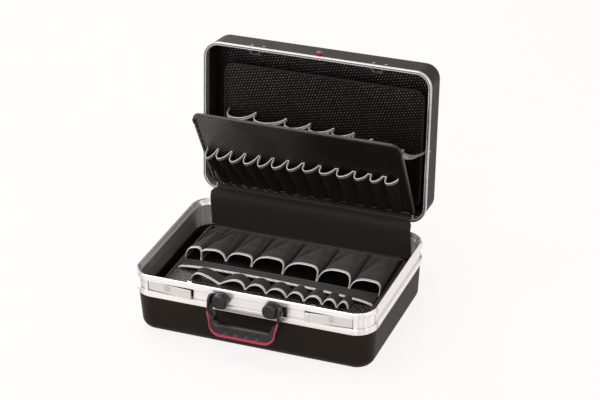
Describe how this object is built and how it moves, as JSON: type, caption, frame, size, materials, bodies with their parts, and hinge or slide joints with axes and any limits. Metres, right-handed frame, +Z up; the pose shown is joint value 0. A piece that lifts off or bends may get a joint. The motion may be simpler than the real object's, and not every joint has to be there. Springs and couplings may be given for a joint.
{
  "type": "hard tool case",
  "caption": "Open hard-shell tool case with metal frames, rocker locks, a swinging handle, and boards of sewn tool pockets in the base, in the lid and on a tilting upper board.",
  "frame": {"origin": "centre of the base's underside, on the flat that it stands on", "axes": "+X to the right seen from the front, +Y to the back, where the hinges are, +Z up"},
  "size_m": [0.48, 0.4714, 0.4509],
  "materials": {
    "abs_shell": "fine moulded grain, warm black",
    "frame_aluminium": "satin anodised extrusion",
    "board_cloth": "dark board, embossed dots",
    "black_plastic": "plain black moulding",
    "liner_felt": "dark felt lining",
    "pocket_cloth": "woven nylon, pale bound edge",
    "cover_cloth": "smooth coated cloth",
    "strap_webbing": "narrow woven webbing",
    "zinc_steel": "zinc plated sheet",
    "lock_black": "black glass-filled moulding",
    "lock_satin": "satin chromed die casting",
    "lock_plug": "darker polished plug",
    "stud_red": "glossy red dome",
    "handle_black": "smooth black plastic",
    "accent_red": "muted red soft line",
    "mount_black": "glossy black boss"
  },
  "bodies": {
    "base": {"base_shell": "abs_shell", "base_frame": "frame_aluminium", "base_board": "board_cloth", "board_posts": "black_plastic", "base_pocket_row": "pocket_cloth", "base_flat_pocket": "pocket_cloth", "base_loop_row": "pocket_cloth", "hinge_leaves_base": "zinc_steel", "hinge_pins": "zinc_steel", "hinge_rivets": "zinc_steel", "lock_housing_left": "lock_black", "lock_housing_right": "lock_black", "lock_pins": "zinc_steel", "lock_springs": "zinc_steel", "handle_mount_left": "mount_black", "handle_mount_right": "mount_black", "handle_pins": "zinc_steel", "hinge_cover": "cover_cloth"},
    "lid": {"lid_shell": "abs_shell", "lid_frame": "frame_aluminium", "lid_liner": "liner_felt", "hinge_leaves_lid": "zinc_steel", "striker_left": "zinc_steel", "striker_right": "zinc_steel", "striker_rivets": "zinc_steel", "lid_stud": "stud_red", "back_board": "board_cloth", "back_board_posts": "black_plastic", "back_pocket_row": "pocket_cloth", "swing_brackets": "zinc_steel", "swing_pins": "zinc_steel", "strap_rivets": "zinc_steel", "strap_left": "strap_webbing", "strap_right": "strap_webbing"},
    "upper_board": {"swing_board": "board_cloth", "swing_pocket_row": "pocket_cloth", "swing_clips": "zinc_steel"},
    "lock_left": {"lock_rocker_left": "lock_satin", "latch_hook_left": "zinc_steel"},
    "lock_right": {"lock_rocker_right": "lock_satin", "latch_hook_right": "zinc_steel"},
    "plug_left": {"lock_plug_left": "lock_plug"},
    "plug_right": {"lock_plug_right": "lock_plug"},
    "handle": {"handle_grip": "handle_black", "handle_accent": "accent_red"}
  },
  "joints": [
    {"name": "lid_hinge", "type": "hinge", "parent": "base", "child": "lid", "pos_m": [0, 0.1707, 0.123], "axis": [1, 0, 0], "range_deg": [0, 95.7], "deforming": ["hinge_cover"]},
    {"name": "upper_board_hinge", "type": "hinge", "parent": "lid", "child": "upper_board", "pos_m": [0, 0.17799, 0.15262], "axis": [1, 0, 0], "range_deg": [-31.9, 0], "deforming": ["strap_left", "strap_right"]},
    {"name": "lock_left_rock", "type": "hinge", "parent": "base", "child": "lock_left", "pos_m": [-0.152, -0.1565, 0.10375], "axis": [0, 0, 1], "range_deg": [0, 6]},
    {"name": "lock_right_rock", "type": "hinge", "parent": "base", "child": "lock_right", "pos_m": [0.152, -0.1565, 0.10375], "axis": [0, 0, -1], "range_deg": [0, 6]},
    {"name": "key_left_turn", "type": "hinge", "parent": "lock_left", "child": "plug_left", "pos_m": [-0.16316, -0.16226, 0.10375], "axis": [-0.1045, -0.9945, 0], "range_deg": [0, 90]},
    {"name": "key_right_turn", "type": "hinge", "parent": "lock_right", "child": "plug_right", "pos_m": [0.16316, -0.16226, 0.10375], "axis": [0.1045, -0.9945, 0], "range_deg": [0, 90]},
    {"name": "handle_swing", "type": "hinge", "parent": "base", "child": "handle", "pos_m": [0, -0.177, 0.108], "axis": [-1, 0, 0], "range_deg": [-8, 84]}
  ],
  "couplings": [
    {"joint": "upper_board_hinge", "follows": "lid_hinge", "ratio": -0.3332}
  ]
}
